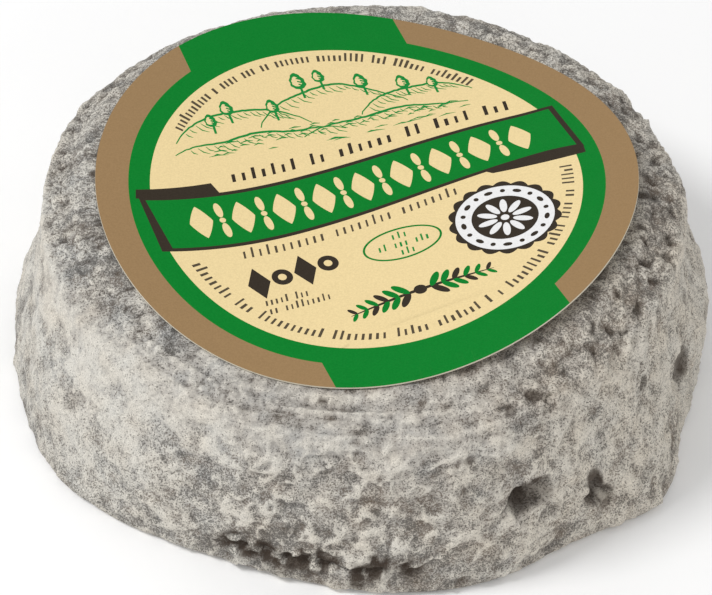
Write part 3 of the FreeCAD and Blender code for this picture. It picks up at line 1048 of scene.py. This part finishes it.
# Brown of the painted shade in pits, cracks, creases and hollows, and of the real fleck
HOLE_SHADE_AND_FLECK_BROWN = (62, 51, 42)
GRAIN_SIZE, FLECK_SIZE, DUST_SIZE, STAIN_SIZE, WISP_SIZE = 0.2, 0.36, 0.17, 2.2, 0.7
SPECK_START = 0.65          # noise above this is a speck
SPECK_GAIN = 0.18           # and above less where specks are thick
GRAIN_EDGE, FLECK_EDGE = 16.0, 14.0


def rind_material():
    material, tree, shader = new_material("rind")
    tone_and_painted_shade, speck = attribute(tree, "tone_and_painted_shade"), attribute(tree, "speck")
    warm, hole_shade_and_fleck = attribute(tree, "warm"), attribute(tree, "hole_shade_and_fleck")
    wisps = add_noise(tree, WISP_SIZE, 4.0, 0.65)
    grains = add_noise(tree, GRAIN_SIZE, 1.0, 0.5)
    flecks = add_noise(tree, FLECK_SIZE, 2.0, 0.6)

    def by_warmth(shades):
        return mix_colour(tree, warm, linear(*shades[0]), linear(*shades[1]))

    def specks(field, start, edge):
        return math_node(tree, "MULTIPLY", math_node(tree, "SUBTRACT", field, start), edge, clamp=True)

    level = math_node(tree, "ADD", tone_and_painted_shade, remap(tree, wisps, 0.3, 0.7, -0.18, 0.18), clamp=True)
    dark, middle, light = by_warmth(RIND_DARK), by_warmth(RIND_MIDDLE), by_warmth(RIND_LIGHT)
    colour = mix_colour(tree, remap(tree, level, 0.0, 0.5), dark, middle)
    colour = mix_colour(tree, remap(tree, level, 0.35, 1.0), colour, light)

    start = math_node(tree, "SUBTRACT", SPECK_START, math_node(tree, "MULTIPLY", speck, SPECK_GAIN))
    dots = specks(grains, start, GRAIN_EDGE)
    spots = specks(flecks, start, FLECK_EDGE)
    dots = math_node(tree, "MAXIMUM", dots, math_node(tree, "MULTIPLY", spots, 0.7))
    stain = remap(tree, add_noise(tree, STAIN_SIZE, 3.0, 0.6), 0.45, 0.65)
    soot = mix_colour(tree, stain, linear(*SOOT[0]), linear(*SOOT[1]))
    colour = mix_colour(tree, math_node(tree, "MULTIPLY", dots, 0.72), colour, soot)
    dust = remap(tree, add_noise(tree, DUST_SIZE, 1.0, 0.5), 0.3, 0.7, 0.0, 0.3)
    colour = mix_colour(tree, dust, colour, linear(*DUST))
    # Painted shade in pits, cracks, creases and hollows, and the real brown fleck
    colour = mix_colour(tree, math_node(tree, "MULTIPLY", hole_shade_and_fleck, 0.92), colour, linear(*HOLE_SHADE_AND_FLECK_BROWN))
    tree.links.new(colour, shader.inputs["Base Color"])
    shader.inputs["Roughness"].default_value = 0.92
    shader.inputs["Specular IOR Level"].default_value = 0.2

    height = math_node(tree, "SUBTRACT", math_node(tree, "MULTIPLY", wisps, 0.6),
                       math_node(tree, "MULTIPLY", dots, 0.3))
    add_bump(tree, shader, height, 0.7, 0.4)
    return material


def ink_material(name, colour):
    """Ink on paper: the plain colour, a little darker and lighter in the grain."""
    material, tree, shader = new_material("print_" + name)
    grain = remap(tree, add_noise(tree, 0.25, 3.0, 0.7), 0.3, 0.7)
    dark = tuple(0.93 * c for c in colour[:3]) + (1.0,)
    light = tuple(min(1.0, 1.05 * c + 0.002) for c in colour[:3]) + (1.0,)
    tree.links.new(mix_colour(tree, grain, dark, light), shader.inputs["Base Color"])
    sheen = remap(tree, add_noise(tree, 3.0, 3.0, 0.6), 0.3, 0.7, 0.5, 0.62)
    tree.links.new(sheen, shader.inputs["Roughness"])
    shader.inputs["Specular IOR Level"].default_value = 0.08
    add_bump(tree, shader, grain, 0.12, 0.1)
    return material


# Display colours of the print, 0 to 255
INKS = {
    "tan": (154, 125, 88),
    "green": (0, 125, 41),
    "leaf": (22, 136, 58),
    "cream": (236, 213, 160),
    "dark": (54, 46, 37),
    "grey": (84, 74, 58),
    "white": (236, 236, 236),
    "paper": (214, 206, 188),
}


# ============================== the studio
FLOOR_HALF = 3.0            # metres
FLOOR_MOTTLE = 0.985        # the camera sees white with faint mottles of this
FLOOR_LIT = 0.93            # what the floor throws back at the object
WORLD_STRENGTH = 0.62
# Lamps: name, place and size in metres, power in watts
LAMPS = (("key", (-0.55, -0.12, 0.72), 0.3, 4.0), ("front", (0.42, -0.88, 0.3), 0.6, 1.5))
LAMP_AIM = (0.0, 0.0, 0.012)


def grey(value):
    return (value, value, value, 1.0)


def make_floor():
    half = FLOOR_HALF
    floor = link_mesh("floor", [(-half, -half, 0.0), (half, -half, 0.0), (half, half, 0.0),
                                (-half, half, 0.0)], [(0, 1, 2, 3)])
    material, tree, shader = new_material("floor")
    seen = tree.nodes.new("ShaderNodeLightPath").outputs["Is Camera Ray"]
    mottle = remap(tree, add_noise(tree, 40.0, 2.0, 0.5), 0.3, 0.7)
    paper = mix_colour(tree, mottle, grey(FLOOR_MOTTLE), grey(1.0))
    tree.links.new(mix_colour(tree, seen, grey(FLOOR_LIT), paper), shader.inputs["Base Color"])
    shader.inputs["Roughness"].default_value = 0.9
    floor.data.materials.append(material)


def add_lamp(name, place, size, power):
    lamp = bpy.data.lights.new(name, "AREA")
    lamp.shape = "DISK"
    lamp.size = size
    lamp.energy = power
    holder = bpy.data.objects.new(name, lamp)
    holder.location = place
    toward = Vector(LAMP_AIM) - Vector(place)
    holder.rotation_euler = toward.to_track_quat("-Z", "Y").to_euler()
    bpy.context.scene.collection.objects.link(holder)


def make_light():
    world = bpy.data.worlds.new("studio")
    world.use_nodes = True
    background = world.node_tree.nodes["Background"]
    background.inputs["Color"].default_value = grey(1.0)
    background.inputs["Strength"].default_value = WORLD_STRENGTH
    bpy.context.scene.world = world
    for name, place, size, power in LAMPS:
        add_lamp(name, place, size, power)


def make_camera(label_middle):
    elevation = math.radians(VIEW_ELEVATION)
    level = Matrix(((1.0, 0.0, 0.0),
                    (0.0, -math.sin(elevation), -math.cos(elevation)),
                    (0.0, math.cos(elevation), -math.sin(elevation))))
    turned = Matrix.Rotation(math.radians(VIEW_ROLL), 3, "Z") @ level
    offset = Vector((VIEW_SHIFT[0], VIEW_SHIFT[1], VIEW_DISTANCE)) * MM
    place = Vector(label_middle) * MM - turned.transposed() @ offset
    flip = Matrix(((1.0, 0.0, 0.0), (0.0, -1.0, 0.0), (0.0, 0.0, -1.0)))
    lens = bpy.data.cameras.new("camera")
    lens.lens = LENS
    lens.sensor_width = SENSOR
    lens.sensor_fit = "HORIZONTAL"
    lens.clip_start = 0.01
    camera = bpy.data.objects.new("camera", lens)
    camera.matrix_world = Matrix.Translation(place) @ (turned.transposed() @ flip).to_4x4()
    bpy.context.scene.collection.objects.link(camera)
    bpy.context.scene.camera = camera


# ============================== assembly
inks = list(INKS)
label, label_middle = make_label(inks)
for ink in inks:
    label.data.materials.append(ink_material(ink, linear(*INKS[ink])))
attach(label, "root")
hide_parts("label")

rind = make_rind()
rind.data.materials.append(rind_material())
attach(rind, "root")
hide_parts("cheese")

make_floor()
make_light()
make_camera(label_middle)
bpy.context.scene.view_settings.view_transform = "Standard"
